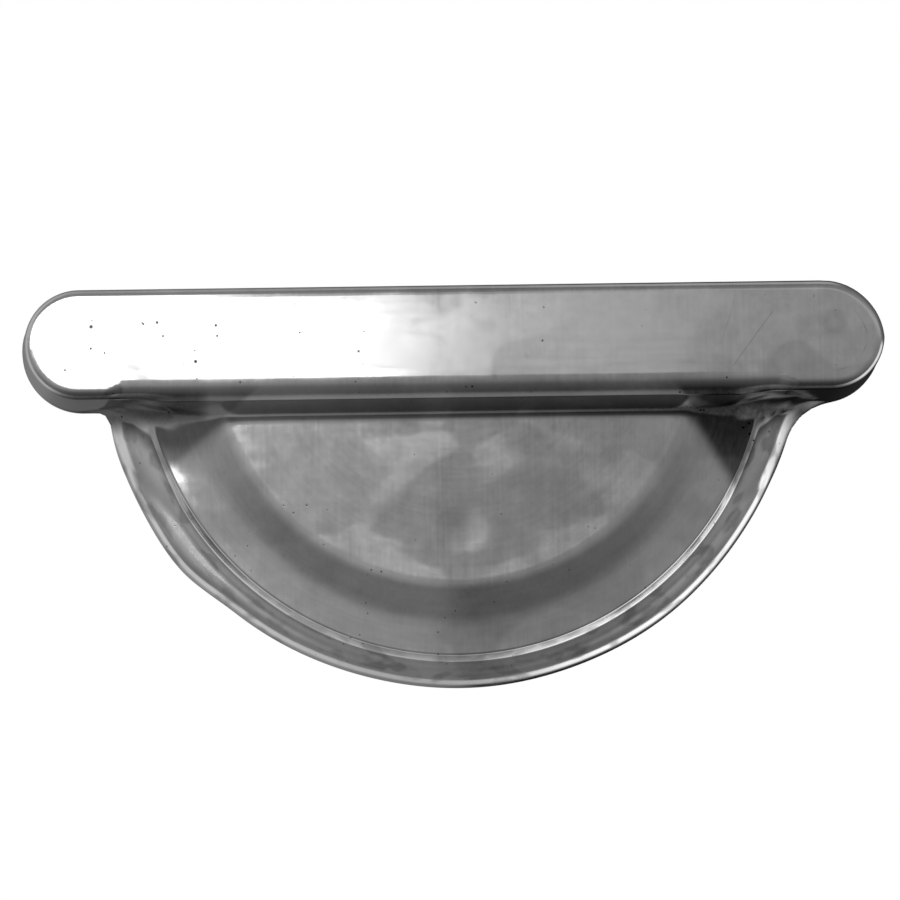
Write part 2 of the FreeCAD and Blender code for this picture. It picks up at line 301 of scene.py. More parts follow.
def sweep_field(x, depth, z):
    """What is left of a block outside a cylinder, R - hypot(up, back), inside a cone of 50 degrees."""
    up = z - SWEEP_Z
    back = depth - SWEEP_DEPTH
    hollow = np.hypot(np.maximum(up, 0), np.maximum(back, 0)) + np.minimum(np.maximum(up, back), 0)
    above = z - CONE_TOP
    foot = CONE_FOOT + CONE_OPENING * (above + np.hypot(above, CONE_TURN))
    inside = foot - np.hypot(x, z - BAR_MIDDLE)
    cone = (FLANGE_DEPTH - inside * CONE_SLOPE - depth) * CONE_SCALE
    block = np.maximum(SWEEP_START - depth, z - BAR_MIDDLE)
    return soft_max(np.maximum(SWEEP_RADIUS - hollow, block), cone, CONE_ROUND)


# %% [markdown]
# ## The whole cap
#
# Joining the four solids gives the cap as if it were filled up. The joins are tight where the tool had
# sharp corners and soft under the bar's ends, where the sheet could not follow. At the left the
# photograph has a bright spot. It is taken here for a small pucker, which is a guess, and its depth was
# tried until such a spot showed. The front of the sheet is where the field is zero, and its normals
# are the field's gradient.

# %% The whole cap as one field
# Reach of a join: where it starts to grow, where it is full, the least reach and the growth
SWEEP_JOIN = (50, 64, 0.8, 2.2)
CORNER_JOIN = (-42, -22, 0.2, 6.0)
BAR_JOIN = (0.6, 5.0, 0.2, 4.5)
PUCKER_DEPTH = 0.55
PUCKER_PLACE = (-64.0, -25.0)
PUCKER_WIDTH = 5.0


def join_reach(value, start, full, least, growth):
    """least + growth * smooth_step(value): a fillet that grows from one place to another."""
    return least + growth * smooth_step(value, start, full)


def cap_field(x, depth, z):
    """Pan, sweep, plate and bar joined with fillets; negative inside the filled-up cap."""
    radius = np.hypot(x, z - BAR_MIDDLE)
    sweep_join = join_reach(radius, *SWEEP_JOIN)
    pan_and_sweep = soft_min(pan_field(x, depth, z), sweep_field(x, depth, z), sweep_join)
    pucker = PUCKER_DEPTH * hump(x, PUCKER_PLACE[0], PUCKER_WIDTH) * hump(z, PUCKER_PLACE[1], PUCKER_WIDTH)
    corner_join = join_reach(z, *CORNER_JOIN)
    pressed = soft_min(pan_and_sweep, plate_field(x, depth, z), corner_join) + pucker
    bar_join = join_reach(-outline_distance(x, z), *BAR_JOIN)
    return soft_min(bar_field(x, depth, z), pressed, bar_join)


def front_depth(x, z):
    """Depth of the front surface at a place on the plan: where the field is zero, found by halving."""
    low = np.full_like(x, -2.0)
    high = np.full_like(x, BACK_DEPTH)
    for _ in range(44):
        middle = (low + high) / 2
        outside = cap_field(x, middle, z) > 0
        low = np.where(outside, middle, low)
        high = np.where(outside, high, middle)
    return (low + high) / 2


def front_normal(x, depth, z, step=0.02):
    """Unit gradient of the field, which points out of the sheet's front; its depth part is along Y."""
    slope = [
        cap_field(x + step, depth, z) - cap_field(x - step, depth, z),
        cap_field(x, depth + step, z) - cap_field(x, depth - step, z),
        cap_field(x, depth, z + step) - cap_field(x, depth, z - step),
    ]
    normal = np.stack(slope, axis=-1)
    return normal / np.linalg.norm(normal, axis=-1, keepdims=True)


middle_depth = front_depth(np.zeros(3), np.array([BAR_MIDDLE, -36.0, -74.0]))
print("depth of bar, raised middle and flange:", middle_depth.round(2))


# %% [markdown]
# ## Two grids that share the crease
#
# A fine mesh looks right only if its lines run along the folds. Two grids do that here. The first goes
# round the bar and in from its outline to its middle line. The second fills the half round: its columns
# start on the straight crease under the bar and end on the lip, and its rows are the pan's circles and
# then lines along the lip. Where a row would start above the crease it is held on it, and the points
# that fall together are merged.

# %% Ends of the crease and the lip's outline
def root_between(function, low, high):
    """Where a rising function of arrays is zero between two arrays, by halving."""
    for _ in range(48):
        middle = (low + high) / 2
        below = function(middle) < 0
        low = np.where(below, middle, low)
        high = np.where(below, high, middle)
    return (low + high) / 2


COLUMNS = 241
side = np.array([-1.0, 1.0])
half_width = root_between(lambda x: outline_distance(side * x, np.full(2, CREASE_Z)),
                          np.full(2, 60.0), np.full(2, 96.0))
crease_left, crease_right = (side * half_width).tolist()
crease_x = np.linspace(crease_left, crease_right, COLUMNS)
crease_points = np.stack([crease_x, np.full(COLUMNS, CREASE_Z)], axis=-1)
angles = np.linspace(np.arctan2(CREASE_Z, crease_left), np.arctan2(CREASE_Z, crease_right), 4001)
reach = root_between(lambda r: outline_distance(r * np.cos(angles), r * np.sin(angles)),
                     np.full_like(angles, 60.0), np.full_like(angles, 92.0))
lip_line = np.stack([reach * np.cos(angles), reach * np.sin(angles)], axis=-1)
lip_line[0] = crease_points[0]
lip_line[-1] = crease_points[-1]
run = np.concatenate([[0], np.cumsum(np.linalg.norm(np.diff(lip_line, axis=0), axis=1))])
stations = np.linspace(0, run[-1], COLUMNS)
lip_points = np.stack([np.interp(stations, run, lip_line[:, i]) for i in range(2)], axis=-1)
print(f"crease from {crease_left:.2f} to {crease_right:.2f} mm, lip {run[-1]:.1f} mm long")


# %% [markdown]
# The rows of the half round stand close together on the ridge and on the lip, where the sheet bends
# sharply, and far apart on the flat middle. Each column is a straight line, so where it meets a circle
# is a square root away; where it meets a line along the uneven lip is found by halving.

# %% Grid of the half round
def half_round_grid():
    """Points where straight columns from crease to lip meet the pan's circles and the lip's lines."""
    circles = np.concatenate([np.arange(16, 34, 3), np.arange(34, 52, 1.0), np.arange(52, 66.4, 0.8),
                              np.arange(66.4, 74.6, 0.26)])
    insets = np.array([4.4, 3.96, 3.5, 3.1, 2.7, 2.3, 1.9, 1.5, 1.15, 0.85, 0.6, 0.4, 0.25, 0.172,
                       0.11, 0.05])
    way = lip_points - crease_points
    start = crease_points - [0, BAR_MIDDLE]
    square = (way**2).sum(-1) + 1e-12
    along = (start * way).sum(-1) / square
    spare = (start**2).sum(-1) / square
    share = -along + np.sqrt(np.maximum(along**2 - spare + circles[:, None] ** 2 / square, 0))
    places = np.zeros((len(insets), COLUMNS))

    def beyond(t):
        point = crease_points + way * t[..., None]
        return outline_distance(point[..., 0], point[..., 1]) + insets[:, None]

    lip_share = root_between(beyond, places, places + 1)
    below_crease = np.array([0.12, 0.26, 0.42, 0.62, 0.9, 1.3, 1.9, 2.8])
    crease_share = below_crease[:, None] / np.maximum(-way[:, 1], 1e-9)
    ends = np.ones((1, COLUMNS))
    rows = np.sort(np.clip(np.concatenate([0 * ends, crease_share, share, lip_share, ends]), 0, 1), axis=0)
    return crease_points + way * rows[..., None]


# %% [markdown]
# The bar's net is like a running track: lanes that follow the outline, close together at the rounded
# edge and on the wall. Below, the lanes go on past the bar to the crease, and at the rounder end they
# are drawn in.

# %% Grid of the bar
def bar_grid():
    """Points on lines square to the bar's outline, from its middle line to the wall's foot or the crease."""
    insets = np.array([13.75, 11.5, 9, 7, 5.8, 4.85, 4.3, 3.8, 3.3, 2.9, 2.5, 2.2, 1.95, 1.75, 1.6, 1.5,
                       1.42, 1.3, 1.2, 1.1, 1.0, 0.9, 0.8, 0.65, 0.5, 0.35, 0.2, 0.1, 0.0])
    left_run = np.linspace(-END_CENTRE, crease_left, 6)[:-1]
    right_run = np.linspace(crease_right, END_CENTRE, 3)[1:] if crease_right < END_CENTRE else []
    straight = np.concatenate([left_run, crease_x[crease_x <= END_CENTRE], right_run])
    swing = np.radians(np.linspace(0, 180, 49)[1:-1])
    foot_x = np.concatenate([straight, END_CENTRE + 0 * swing, straight[::-1], -END_CENTRE + 0 * swing])
    out_x = np.concatenate([0 * straight, np.sin(swing), 0 * straight, -np.sin(swing)])
    out_z = np.concatenate([-1 + 0 * straight, -np.cos(swing), 1 + 0 * straight, np.cos(swing)])

    def beyond(extra):
        x = foot_x + out_x * (BAR_RADIUS + extra)
        z = BAR_MIDDLE + out_z * (BAR_RADIUS + extra)
        return np.maximum(outline_distance(x, z), CREASE_Z - z)

    extra = root_between(beyond, np.full_like(foot_x, -2.0), np.full_like(foot_x, 4.0))
    extra = np.where(np.abs(extra) < 1e-4, 0, extra)
    shares = np.array([0.05, 0.12, 0.2, 0.3, 0.42, 0.56, 0.7, 0.85, 1.0])
    drawn_in = np.minimum(extra, 0) * (1 - insets[:, None] / BAR_RADIUS)
    beyond_bar = np.maximum(extra, 0) * shares[:, None] + np.minimum(extra, 0)
    steps = np.concatenate([drawn_in - insets[:, None], beyond_bar])
    x = foot_x + out_x * (BAR_RADIUS + steps)
    z = BAR_MIDDLE + out_z * (BAR_RADIUS + steps)
    return np.stack([x, z], axis=-1)


def grid_quads(rows, columns, closed):
    """Corner numbers of the quads of a grid, row by row."""
    number = np.arange(rows * columns).reshape(rows, columns)
    if closed:
        number = np.concatenate([number, number[:, :1]], axis=1)
    corners = [number[:-1, :-1], number[:-1, 1:], number[1:, 1:], number[1:, :-1]]
    return np.stack(corners, axis=-1).reshape(-1, 4)


# %% [markdown]
# Both grids are laid on one flat mesh. Points that fall together on the crease are merged there, so
# that the sheet has no seam.

# %% Merge the grids on the plan
half_round = half_round_grid()
bar = bar_grid()
plan = np.concatenate([half_round.reshape(-1, 2), bar.reshape(-1, 2)])
quads = np.concatenate([grid_quads(*half_round.shape[:2], False),
                        grid_quads(*bar.shape[:2], True) + half_round.shape[0] * half_round.shape[1]])
flat = bpy.data.meshes.new("plan")
flat.from_pydata(np.stack([plan[:, 0], 0 * plan[:, 0], plan[:, 1]], -1), [], quads)
sheet = bmesh.new()
sheet.from_mesh(flat)
bmesh.ops.remove_doubles(sheet, verts=sheet.verts, dist=2e-3)
bmesh.ops.triangulate(sheet, faces=sheet.faces)
slim = [face for face in sheet.faces if face.calc_area() < 1e-7]
print("merged plan:", len(sheet.verts), "points,", len(sheet.faces), "triangles")
print("triangles without area:", len(slim))
sheet.to_mesh(flat)
sheet.free()

# %% [markdown]
# ## From the plan to a sheet
#
# The plan's points are moved back to the front surface. The other face of the sheet is the same net one
# thickness behind it, along the surface's own normals, so the sheet is even everywhere as rolled metal
# is. A narrow strip closes the trimmed edge. The normals come from the field itself, which shades the
# bends more smoothly than normals averaged from triangles.

# %% Front, back and trimmed edge
points = np.zeros(len(flat.vertices) * 3)
flat.vertices.foreach_get("co", points)
x, _, z = points.reshape(-1, 3).T
corners = np.zeros(len(flat.loops), dtype=np.int32)
flat.loops.foreach_get("vertex_index", corners)
triangles = corners.reshape(-1, 3)
bpy.data.meshes.remove(flat)

first, second, third = np.stack([x, z], -1)[triangles].transpose(1, 2, 0)
area = (second[0] - first[0]) * (third[1] - first[1]) - (second[1] - first[1]) * (third[0] - first[0])
triangles = np.where((area > 0)[:, None], triangles, triangles[:, ::-1])

sides = np.concatenate([triangles[:, [0, 1]], triangles[:, [1, 2]], triangles[:, [2, 0]]])
key = np.sort(sides, axis=1)
_, found, count = np.unique(key, axis=0, return_index=True, return_counts=True)
rim = sides[found[count == 1]]
print("trimmed edge:", len(rim), "sides,", "three-way sides:", int((count > 2).sum()))

depth = front_depth(x, z)
on_rim = np.unique(rim)
depth[on_rim] = BACK_DEPTH
normal = front_normal(x, depth, z)
front = np.stack([x, depth, z], -1)
behind = front - normal * SHEET
behind[on_rim, 1] = BACK_DEPTH

# %% [markdown]
# Front, back and edge strip become one mesh. Every corner gets its own normal: the field's on both
# faces, and straight back on the trimmed edge, which stays sharp as shears leave it.

# %% The finished mesh
half = len(front)
places = (np.concatenate([front, behind]) + [0, FACE_Y, 0]) * MM
strip = np.concatenate([np.stack([rim[:, 1], rim[:, 0], rim[:, 0] + half], -1),
                        np.stack([rim[:, 1], rim[:, 0] + half, rim[:, 1] + half], -1)])
faces = np.concatenate([triangles, triangles[:, ::-1] + half, strip])
square_back = np.tile([0.0, 1.0, 0.0], (strip.size, 1))
front_corners = normal[triangles].reshape(-1, 3)
back_corners = -normal[triangles[:, ::-1]].reshape(-1, 3)
corner_normals = np.concatenate([front_corners, back_corners, square_back])

cap_mesh = bpy.data.meshes.new("pressed_sheet")
cap_mesh.from_pydata(places, [], faces)
cap_mesh.polygons.foreach_set("use_smooth", np.ones(len(faces), dtype=bool))
cap_mesh.normals_split_custom_set(corner_normals)
cap_mesh.validate()
print("sheet:", len(places), "points,", len(faces), "triangles")

# %% [markdown]
# ## Places for the finish and the painted shade
#
# Some marks of a pressing belong to places that are easy to name here and hard to name in a material:
# how far round the pan a point lies, whether it is on the lip and how far it is inside the bar's outline.
# One more place is how deep a point sits in the corners under the bar. Those corners are the darkest
# places in the photograph. Part of that is the form; the rest is painted shade, a darkening of the
# colour whose edges follow the dark triangles seen there. Part of that is the form; the rest is taken for
# a darker coat, which is a guess, and its edges follow the dark triangles seen there. All four are stored
# on the mesh as attributes.

# %% Attributes on the mesh
ring = np.concatenate([np.hypot(x, z), np.hypot(x, z)])
arc = np.concatenate([np.arctan2(x, -z), np.arctan2(x, -z)]) * LIP_RADIUS
inset = -bar_distance(np.concatenate([x, x]), np.concatenate([z, z]))

WALL_TURN = (0.15, 0.55)
WALL_HEIGHT = (-35, -25)
WALL_FADE = (-18, -15)
BAR_NEAR = (1.5, 7)
CORNER_NEAR = (50, 58)
CORNER_SOFT = (-1.0, 2.5)
RIDGE_FOOT = (70.5, 72.5)
BAR_LOW = (11, 14)
# Edge of a dark corner: its radius at a height, that height, and how fast the radius falls upward
LEFT_DARK = (54.6, -19.3, 1.46)
RIGHT_DARK = (56.0, -20.2, 0.95)


def dark_edge(z, radius, height, fall):
    """A straight line over the height: radius - fall * (z - height)."""
    return radius - fall * (z - height)


# Painted shade: walls that face down, the bar's foot near its ends and the dark corner triangles are masked
# here, and the colour is darkened there later.
painted_shade_down = smooth_step(-normal[:, 2], *WALL_TURN) * smooth_step(z, *WALL_HEIGHT)
painted_shade_down = painted_shade_down * (0.75 + 0.005 * x) * (1 - 0.4 * smooth_step(z, *WALL_FADE))
painted_shade_below_bar = (1 - smooth_step(bar_distance(x, z), *BAR_NEAR)) * smooth_step(np.abs(x), *CORNER_NEAR)
pan_ring = np.hypot(x, z - BAR_MIDDLE)
corner_edge = np.where(x < 0, dark_edge(z, *LEFT_DARK), dark_edge(z, *RIGHT_DARK))
painted_shade_corner = smooth_step(pan_ring - corner_edge, *CORNER_SOFT) * (1 - smooth_step(pan_ring, *RIDGE_FOOT))
painted_shade_corner = painted_shade_corner * (0.85 + 0.0035 * x)
painted_shade = np.maximum(np.maximum(painted_shade_down, painted_shade_below_bar), painted_shade_corner) * smooth_step(-z, *BAR_LOW)

LIP_START = (70.5, 73.5)
LIP_BELOW = (17, 24)
marks = {
    "drawn_round": np.stack([ring, arc, 0 * arc], -1) * MM,
    "lip_zone": smooth_step(ring, *LIP_START) * smooth_step(-np.concatenate([z, z]), *LIP_BELOW),
    "bar_inset": inset,
    "painted_shade": np.tile(painted_shade, 2),
}
for name, mark in marks.items():
    kind = "FLOAT_VECTOR" if mark.ndim == 2 else "FLOAT"
    attribute = cap_mesh.attributes.new(name, kind, "POINT")
    attribute.data.foreach_set("vector" if mark.ndim == 2 else "value", mark.astype(np.float32).ravel())
    print(name, "from", mark.min().round(4), "to", mark.max().round(4))

# %% [markdown]
# The sheet rides on the part's only body and takes the place of the CAD piece in pictures.

# %% Put the sheet into the frame
cap = bpy.data.objects.new("pressed_sheet", cap_mesh)
bpy.context.scene.collection.objects.link(cap)
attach(cap, "root")
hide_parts("end_cap")
print(cap.name, "replaces end_cap on body root")

# %% [markdown]
# ## Zinc finish
#
# Zinc-coated sheet is a soft mirror. Its colour is an even light grey; what the eye reads as pattern is
# mostly the mirror being bent and dulled a little. Rolling leaves fine lines, here from top to bottom.
# The coating dries in clouds with soft edges. Handling leaves dark specks, a scratch and a bruise.
# Drawing leaves lines that follow the round parts, and dark spots where the squeezed lip rubbed on the
# tool. Each of these is one small network below that gives a number from 0 to 1; the colour, the
# roughness and the height of the surface are then sums of those numbers.

# %% Helpers for the zinc nodes
zinc = bpy.data.materials.new("zinc_sheet")
zinc.use_nodes = True
zinc_nodes = zinc.node_tree.nodes
zinc_links = zinc.node_tree.links
tree = zinc.node_tree
shader = zinc_nodes["Principled BSDF"]


def plug(tree, source, socket):
    """Put a number, a vector or another node's output into a socket."""
    if isinstance(source, bpy.types.NodeSocket):
        tree.links.new(source, socket)
    else:
        socket.default_value = source


def calculate(tree, operation, *values):
    """One math node; returns its output."""
    node = tree.nodes.new("ShaderNodeMath")
    node.operation = operation
    for value, socket in zip(values, node.inputs):
        plug(tree, value, socket)
    return node.outputs[0]


def move(tree, operation, *values):
    """One vector math node; returns the output in use."""
    node = tree.nodes.new("ShaderNodeVectorMath")
    node.operation = operation
    for value, socket in zip(values, node.inputs):
        plug(tree, value, socket)
    return next(output for output in node.outputs if output.enabled)


def noise(tree, place, scale, detail=2.0, rough=0.5, shift=0.0):
    """Soft noise about 0.5 over a place; shift is a bend of the pattern."""
    node = tree.nodes.new("ShaderNodeTexNoise")
    plug(tree, place, node.inputs["Vector"])
    node.inputs["Scale"].default_value = scale
    node.inputs["Detail"].default_value = detail
    node.inputs["Roughness"].default_value = rough
    node.inputs["Distortion"].default_value = shift
    return node.outputs["Fac"]


def step_up(tree, value, low, high):
    """0 below low and 1 above high, with a smooth way between."""
    node = tree.nodes.new("ShaderNodeMapRange")
    node.interpolation_type = "SMOOTHSTEP"
    plug(tree, value, node.inputs["Value"])
    plug(tree, low, node.inputs["From Min"])
    plug(tree, high, node.inputs["From Max"])
    return node.outputs["Result"]


def mark_on_mesh(name):
    """An attribute of the mesh, as a number or a vector."""
    node = zinc_nodes.new("ShaderNodeAttribute")
    node.attribute_name = name
    return node.outputs["Vector"] if name == "drawn_round" else node.outputs["Fac"]


def add_up(start, *terms):
    """start plus each term's mask times its amount."""
    total = start
    for mask, amount in terms:
        total = calculate(tree, "MULTIPLY_ADD", mask, amount, total)
    return total


place = zinc_nodes.new("ShaderNodeTexCoord").outputs["Object"]


# %% [markdown]
# ### Strokes and spots
#
# A scratch is a thin stroke between two points, and a bruise is a soft spot. Both are the same kind of
# mask in several places, so they are node groups: distance from the stroke or the middle, then a smooth
# edge.

# %% Node groups for strokes and spots
def mask_group(name, vectors):
    """A node group with vector inputs and a Width, that gives one Mask."""
    group = bpy.data.node_groups.new(name, "ShaderNodeTree")
    for vector in vectors:
        group.interface.new_socket(vector, in_out="INPUT", socket_type="NodeSocketVector")
    group.interface.new_socket("Width", in_out="INPUT", socket_type="NodeSocketFloat")
    group.interface.new_socket("Mask", in_out="OUTPUT", socket_type="NodeSocketFloat")
    entry = group.nodes.new("NodeGroupInput")
    exit_node = group.nodes.new("NodeGroupOutput")
    return group, entry.outputs, exit_node.inputs


stroke_group, given, result = mask_group("stroke_mask", ["Place", "Start", "Along"])
way = move(stroke_group, "SUBTRACT", given["Place"], given["Start"])
length = move(stroke_group, "DOT_PRODUCT", given["Along"], given["Along"])
share = calculate(stroke_group, "DIVIDE", move(stroke_group, "DOT_PRODUCT", way, given["Along"]), length)
share = calculate(stroke_group, "MINIMUM", calculate(stroke_group, "MAXIMUM", share, 0.0), 1.0)
scaled = stroke_group.nodes.new("ShaderNodeVectorMath")
scaled.operation = "SCALE"
stroke_group.links.new(given["Along"], scaled.inputs[0])
stroke_group.links.new(share, scaled.inputs["Scale"])
gap = move(stroke_group, "LENGTH", move(stroke_group, "SUBTRACT", way, scaled.outputs[0]))
stroke_group.links.new(step_up(stroke_group, gap, given["Width"], 0.0), result["Mask"])

spot_group, given, result = mask_group("spot_mask", ["Place", "Middle"])
gap = move(spot_group, "LENGTH", move(spot_group, "SUBTRACT", given["Place"], given["Middle"]))
spot_group.links.new(step_up(spot_group, gap, given["Width"], 0.0), result["Mask"])


def use_group(group, width, **vectors):
    """One use of a mask group on the cap; places are millimetres in x and z on the front face."""
    node = zinc_nodes.new("ShaderNodeGroup")
    node.node_tree = group
    node.inputs["Width"].default_value = width * MM
    flat = move(tree, "MULTIPLY", place, (1.0, 0.0, 1.0))
    zinc_links.new(flat, node.inputs["Place"])
    for name, (across, up) in vectors.items():
        node.inputs[name].default_value = (across * MM, 0.0, up * MM)
    return node.outputs["Mask"]


print("mask groups:", stroke_group.name, spot_group.name)


# %% [markdown]
# ### Pattern of the coating
#
# The clouds are two noises, one of broad patches with drawn-out edges and one of small patches. The
# rolling lines are noise squeezed to thin upright lines. Specks are the middles of random cells, kept
# only where another noise is high, so they come in loose groups.

# %% Clouds, rolling lines and specks
stretched = move(tree, "MULTIPLY", place, (1.0, 1.0, 1.6))
broad = noise(tree, stretched, 36.0, detail=2.0, rough=0.5, shift=0.4)
patches = step_up(tree, broad, 0.46, 0.54)
small = noise(tree, place, 190.0, detail=3.0, rough=0.65)
lines_place = move(tree, "MULTIPLY", place, (1.0, 1.0, 0.022))
lines = noise(tree, lines_place, 1500.0, detail=1.0, rough=0.65)

streaks_place = move(tree, "MULTIPLY", place, (0.1, 1.0, 1.0))
streaks = noise(tree, streaks_place, 420.0, detail=1.0, rough=0.5)

cells = zinc_nodes.new("ShaderNodeTexVoronoi")
cells.inputs["Scale"].default_value = 400.0
zinc_links.new(place, cells.inputs["Vector"])
speck_group = step_up(tree, noise(tree, place, 120.0, detail=1.0), 0.44, 0.66)
speck_size = calculate(tree, "MULTIPLY", speck_group, 0.24)
across = zinc_nodes.new("ShaderNodeSeparateXYZ")
zinc_links.new(place, across.inputs[0])
bar_inset = mark_on_mesh("bar_inset")
bar_left = calculate(tree, "MULTIPLY", step_up(tree, across.outputs["X"], -0.03, -0.075),
                     step_up(tree, bar_inset, 0.5, 2.0))
to_left = add_up(0.55, (bar_left, 0.45))
speck_size = calculate(tree, "MULTIPLY", speck_size, to_left)
specks = step_up(tree, cells.outputs["Distance"], speck_size, calculate(tree, "MULTIPLY", speck_size, 0.4))

# %% [markdown]
# ### Marks of the tool and of hands
#
# Drawing leaves lines along the round and dark spots on the lip, and the die's edge leaves a faint line
# inside both ends of the bar. After that come two scratches, a bruise and the dried edge of a drop.

# %% Marks of drawing and handling
drawn = mark_on_mesh("drawn_round")
lip = mark_on_mesh("lip_zone")
drawn_place = move(tree, "MULTIPLY", drawn, (1.0, 0.05, 1.0))
drawn_lines = noise(tree, drawn_place, 900.0, detail=1.0, rough=0.6)
on_pan = step_up(tree, bar_inset, -1.0, -6.0)
spot_place = move(tree, "MULTIPLY", drawn, (2.4, 1.0, 1.0))
rubbed = step_up(tree, noise(tree, spot_place, 130.0, detail=1.5, rough=0.6), 0.5, 0.62)
rubbed = calculate(tree, "MULTIPLY", rubbed, lip)

die_line = calculate(tree, "ABSOLUTE", calculate(tree, "SUBTRACT", bar_inset, 5.6))
die_line = step_up(tree, calculate(tree, "ADD", die_line, noise(tree, place, 260.0, detail=1.0)), 0.62, 0.4)
at_ends = step_up(tree, calculate(tree, "ABSOLUTE", across.outputs["X"]), 0.079, 0.086)
die_line = calculate(tree, "MULTIPLY", die_line, at_ends)

scratch = use_group(stroke_group, 0.16, Start=(70.6, 3.4), Along=(-9.0, -12.0))
scratch_two = use_group(stroke_group, 0.13, Start=(62.0, 5.5), Along=(-3.0, -9.0))
bruise = use_group(spot_group, 2.4, Middle=(16.6, -4.9))
bruise = calculate(tree, "MULTIPLY", bruise, step_up(tree, small, 0.46, 0.6))
stain = use_group(spot_group, 3.8, Middle=(84.3, 0.8))
stain_edge = calculate(tree, "MULTIPLY", stain, calculate(tree, "SUBTRACT", 1.0, stain))


# %% [markdown]
# ### Colour, roughness and height
#
# The three sums. Heights are in metres: the waves of the sheet are a few hundredths of a millimetre
# over some centimetres, which is enough to pull the edge of a reflection about.

# %% Sums for the shader
# Painted shade: the mask from the mesh darkens the colour under the bar and in its corners, with a mottle.
painted_shade_tone = calculate(tree, "MULTIPLY", mark_on_mesh("painted_shade"), add_up(0.75, (small, 0.5)))
pan_lines = calculate(tree, "MULTIPLY", drawn_lines, on_pan)
# The lip is also painted lighter in the colour, a painted sheen along the bent edge.
grey = add_up(0.43, (patches, 0.05), (small, 0.22), (lines, 0.07), (pan_lines, 0.09), (rubbed, -0.28),
              (lip, 0.2), (die_line, -0.14), (scratch, -0.14), (scratch_two, -0.08), (bruise, -0.22),
              (stain_edge, -0.25), (specks, -0.5), (painted_shade_tone, -0.5))
mix_grey = zinc_nodes.new("ShaderNodeCombineColor")
for channel in ("Red", "Green", "Blue"):
    zinc_links.new(grey, mix_grey.inputs[channel])
zinc_links.new(mix_grey.outputs["Color"], shader.inputs["Base Color"])

dull = add_up(0.045, (patches, 0.05), (small, 0.09), (lines, 0.04), (lip, 0.02), (rubbed, 0.12),
              (specks, 0.3), (bruise, 0.2))
zinc_links.new(dull, shader.inputs["Roughness"])
shader.inputs["Metallic"].default_value = 1.0

height = add_up(0.0, (broad, 5.5e-5), (streaks, 1.2e-5), (lines, 5e-7), (specks, -5e-6))
bump = zinc_nodes.new("ShaderNodeBump")
bump.inputs["Strength"].default_value = 1.0
bump.inputs["Distance"].default_value = 1.0
zinc_links.new(height, bump.inputs["Height"])
zinc_links.new(bump.outputs["Normal"], shader.inputs["Normal"])
cap_mesh.materials.append(zinc)
print("zinc:", len(zinc_nodes), "nodes")

# %% [markdown]
# ## Studio
#
# The camera stands a little below the cap and to its left, so that the bar's lower wall shows as a dark
# band and the left end shows its side. It is 1.1 m away; the focal length follows from the width that
# the picture has to cover. A small roll lifts the right end, as in the photograph.

# %% Camera
TARGET = Vector((-0.0011, 0.0, -0.0254))
DISTANCE = 1.1
SENSOR = 36
PIXEL_SIZE = 0.2255
PICTURE_WIDTH = 900
LIFT = np.radians(-3.5)
TURN = np.radians(-2.0)
ROLL = np.radians(-0.95)
camera_data = bpy.data.cameras.new("camera")
camera = bpy.data.objects.new("camera", camera_data)
bpy.context.scene.collection.objects.link(camera)
away = Vector((np.sin(TURN) * np.cos(LIFT), -np.cos(TURN) * np.cos(LIFT), np.sin(LIFT)))
camera.location = TARGET + away * DISTANCE
look = (-away).to_track_quat("-Z", "Y")
camera.rotation_euler = look.to_euler()
camera.rotation_euler.rotate_axis("Z", ROLL)
camera_data.sensor_width = SENSOR
camera_data.lens = SENSOR * DISTANCE / (PIXEL_SIZE * MM * PICTURE_WIDTH)
bpy.context.scene.camera = camera
print(f"camera at {np.round(camera.location, 3)}, lens {camera_data.lens:.0f} mm")

# %% [markdown]
# ### White ground
#
# The photograph has a plain white ground. A white world at strength 1 and a white floor below the cap
# give that without any extra light. The floor is left out of reflections, because the metal gets a room
# of its own next.

# %% World and floor
world = bpy.data.worlds.new("white_studio")
bpy.context.scene.world = world
world.use_nodes = True
world.node_tree.nodes["Background"].inputs["Color"].default_value = (1, 1, 1, 1)
world.node_tree.nodes["Background"].inputs["Strength"].default_value = 1.0

FLOOR_Z = -0.2
FLOOR_HALF = 40
floor_mesh = bpy.data.meshes.new("floor")
floor_points = [(across * FLOOR_HALF, along * FLOOR_HALF, FLOOR_Z)
                for across, along in ((-1, -1), (1, -1), (1, 1), (-1, 1))]
floor_mesh.from_pydata(floor_points, [], [(0, 1, 2, 3)])
floor = bpy.data.objects.new("floor", floor_mesh)
bpy.context.scene.collection.objects.link(floor)
floor_paint = bpy.data.materials.new("white_floor")
floor_paint.use_nodes = True
paint_shader = floor_paint.node_tree.nodes["Principled BSDF"]
paint_shader.inputs["Base Color"].default_value = (1, 1, 1, 1)
paint_shader.inputs["Roughness"].default_value = 1.0
paint_shader.inputs["Specular IOR Level"].default_value = 0.0
floor_mesh.materials.append(floor_paint)
floor.visible_glossy = False
print(f"white floor at {FLOOR_Z} m")

# %% [markdown]
# ### A room for the mirror
#
# Bright metal shows what stands round it, and an all-white room would make it white. So a large grey
# tent stands round the cap that only reflections see. It is a glowing sphere, 4 m in radius, whose grey
# depends on the direction.

# %% Grey tent
TENT_RADIUS = 4.0


def tent_sphere(rings, sectors, radius):
    """Points of a sphere, radius * (cos a cos b, sin a cos b, sin b), and its quads."""
    b = np.linspace(-np.pi / 2, np.pi / 2, rings)[:, None]
    a = np.linspace(0, 2 * np.pi, sectors, endpoint=False)[None, :]
    points = np.stack([np.cos(a) * np.cos(b), np.sin(a) * np.cos(b), np.sin(b) + 0 * a], -1) * radius
    return points.reshape(-1, 3), grid_quads(rings, sectors, True)


